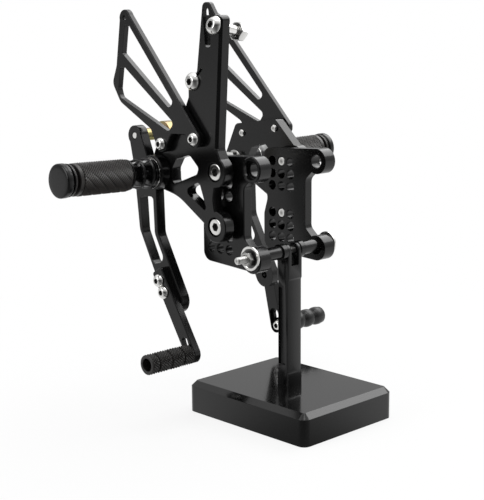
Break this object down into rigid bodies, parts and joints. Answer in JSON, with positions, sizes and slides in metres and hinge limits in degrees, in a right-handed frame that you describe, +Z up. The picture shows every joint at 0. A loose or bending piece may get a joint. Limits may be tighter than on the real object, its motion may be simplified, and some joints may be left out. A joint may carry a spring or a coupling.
{
  "type": "motorcycle rear sets",
  "caption": "Black machined motorcycle rear set pair with knurled footpegs, skeleton heel guards and slotted brake and gear levers, clamped on a forked display stand.",
  "frame": {"origin": "centre of the stand base's underside, on the table", "axes": "+Z up; +X across the motorcycle from the brake side to the gear side, along the footpegs; -Y towards the front of the motorcycle"},
  "size_m": [0.3082, 0.2202, 0.322],
  "materials": {
    "black_anodised": "black anodised, satin",
    "stainless": "bright stainless",
    "rubber": "moulded black rubber",
    "yellow_zinc": "yellow zinc plated",
    "bronze": "plain bronze",
    "base_black": "gloss black"
  },
  "bodies": {
    "frame": {"stand_base": "base_black", "stand_post": "black_anodised", "stand_collars": "black_anodised", "stand_spacers": "black_anodised", "stand_bolt": "stainless", "stand_bolt_nut": "stainless", "stand_bolt_washers": "stainless", "brake_bracket": "black_anodised", "brake_hanger": "black_anodised", "brake_hanger_spacers": "black_anodised", "brake_hanger_bolts": "stainless", "brake_heel_guard": "black_anodised", "brake_guard_spacers": "black_anodised", "brake_guard_screws": "stainless", "brake_lever_shims": "stainless", "brake_peg_spindle": "black_anodised", "brake_peg_grip": "black_anodised", "brake_peg_cap": "black_anodised", "brake_peg_bolt": "stainless", "brake_peg_washer": "stainless", "gear_bracket": "black_anodised", "gear_hanger": "black_anodised", "gear_hanger_spacers": "black_anodised", "gear_hanger_bolts": "stainless", "gear_heel_guard": "black_anodised", "gear_guard_spacers": "black_anodised", "gear_guard_screws": "stainless", "gear_lever_shims": "stainless", "gear_peg_spindle": "black_anodised", "gear_peg_grip": "black_anodised", "gear_peg_cap": "black_anodised", "gear_peg_bolt": "stainless", "gear_peg_washer": "stainless", "brake_cylinder_bolts": "stainless", "brake_cylinder_nuts": "stainless"},
    "brake_lever": {"brake_lever": "black_anodised", "brake_lever_bush": "bronze", "brake_toe_arm": "black_anodised", "brake_toe_arm_screws": "stainless", "brake_toe_peg": "black_anodised", "brake_toe_screw": "stainless", "brake_rod_ball": "stainless", "brake_rod_sleeve": "yellow_zinc", "brake_rod_bolt": "yellow_zinc"},
    "gear_lever": {"gear_lever": "black_anodised", "gear_lever_bush": "bronze", "gear_toe_arm": "black_anodised", "gear_toe_arm_screws": "stainless", "gear_toe_peg": "black_anodised", "gear_toe_screw": "stainless", "gear_toe_rubber": "rubber"},
    "rod_end": {"brake_rod_end": "yellow_zinc"}
  },
  "joints": [
    {"name": "brake_lever_pivot", "type": "hinge", "parent": "frame", "child": "brake_lever", "pos_m": [-0.0583, 0.091, 0.191], "axis": [1, 0, 0], "range_deg": [-28, 0]},
    {"name": "gear_lever_pivot", "type": "hinge", "parent": "frame", "child": "gear_lever", "pos_m": [0.0583, 0.106, 0.191], "axis": [1, 0, 0], "range_deg": [-40, 0]},
    {"name": "rod_end_swivel", "type": "hinge", "parent": "brake_lever", "child": "rod_end", "pos_m": [-0.029, 0.1105, 0.2189], "axis": [1, 0, 0], "range_deg": [-40, 40]}
  ]
}
